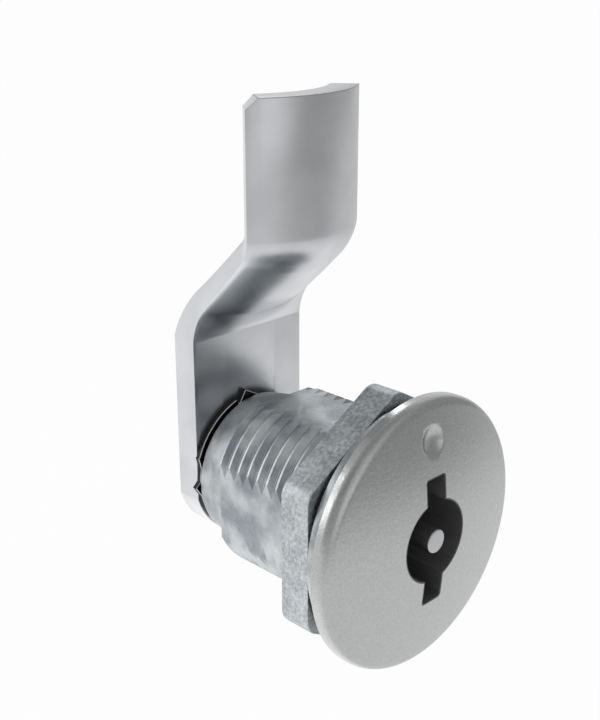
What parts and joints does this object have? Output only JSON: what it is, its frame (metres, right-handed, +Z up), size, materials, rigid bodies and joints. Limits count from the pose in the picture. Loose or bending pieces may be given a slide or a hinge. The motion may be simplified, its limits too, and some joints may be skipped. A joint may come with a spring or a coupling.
{
  "type": "quarter-turn cam latch",
  "caption": "Quarter-turn cam latch: round keyed head, threaded barrel with flats and a hexagon nut for a panel hole, and a cranked cam that swings behind the frame.",
  "frame": {"origin": "on the lock's axis, on the back face of the housing's flange, where it seats on the panel", "axes": "+Y along the axis towards the rear of the panel, +Z up along the cam at rest, +X to the right as seen from the key side"},
  "size_m": [0.031, 0.0361, 0.0607],
  "materials": {
    "zinc": "bright zinc with a spangled bloom",
    "nut_zinc": "dull mottled zinc",
    "satin_steel": "fine blasted satin",
    "cam_steel": "smooth satin plate",
    "turned_steel": "turned, plain",
    "black_moulding": "dark, slightly glossy",
    "dark_steel": "blackened",
    "seal_rubber": "matt"
  },
  "bodies": {
    "housing": {"housing": "zinc", "hex_nut": "nut_zinc"},
    "rotor": {"head_disc": "satin_steel", "key_insert": "black_moulding", "key_pin": "turned_steel", "spindle": "turned_steel", "spindle_seal": "seal_rubber", "stop_disc": "dark_steel", "cam": "cam_steel", "lock_washer": "turned_steel", "cam_screw": "turned_steel"}
  },
  "joints": [
    {"name": "quarter_turn", "type": "hinge", "parent": "housing", "child": "rotor", "pos_m": [0, 0, 0], "axis": [0, -1, 0], "range_deg": [0, 90]}
  ]
}
